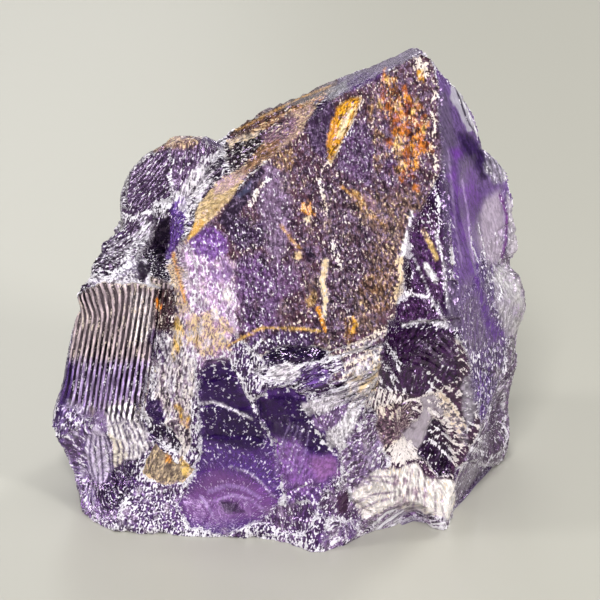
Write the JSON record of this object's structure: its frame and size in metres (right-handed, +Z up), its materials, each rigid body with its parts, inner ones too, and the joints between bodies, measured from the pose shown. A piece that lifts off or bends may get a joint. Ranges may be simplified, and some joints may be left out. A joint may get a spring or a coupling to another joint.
{
  "type": "rough amethyst",
  "caption": "Rough piece of purple quartz with flat fractures, rippled shell-shaped scoops and a striated step, standing on a flat underside.",
  "frame": {"origin": "on the surface that the stone stands on, under the middle of the stone", "axes": "+Z up, +X to the viewer's right in the picture, +Y away from the viewer"},
  "size_m": [0.037, 0.0268, 0.0378],
  "materials": {
    "amethyst": "clear purple quartz with frosted fracture faces, white bruised edges and ochre iron stains"
  },
  "bodies": {
    "root": {"amethyst": "amethyst"}
  },
  "joints": []
}
